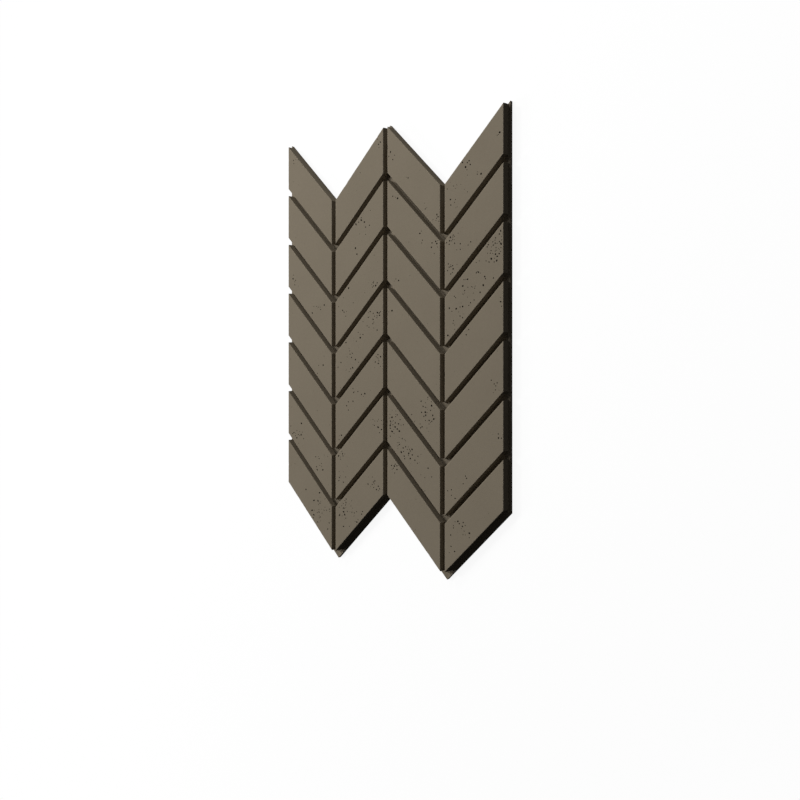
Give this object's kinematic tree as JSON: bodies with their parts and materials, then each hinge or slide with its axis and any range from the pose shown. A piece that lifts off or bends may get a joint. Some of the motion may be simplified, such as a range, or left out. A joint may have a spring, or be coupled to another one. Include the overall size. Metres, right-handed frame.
{
  "type": "concrete wall panel",
  "caption": "Cast concrete wall panel: thin backing plate with raised slanted blocks in a mirrored chevron, open grooves between them, and a zigzag head and foot that nest with the next panel.",
  "frame": {"origin": "on the flat back, in the middle of the panel's box", "axes": "+X across the columns, +Y up the panel as it hangs on a wall, +Z out of the face; the panel lies on its back"},
  "size_m": [0.5038, 0.7888, 0.0193],
  "materials": {
    "concrete": "matt cast concrete, taupe brown, with small air holes"
  },
  "bodies": {
    "root": {"chevron_panel": "concrete"}
  },
  "joints": []
}
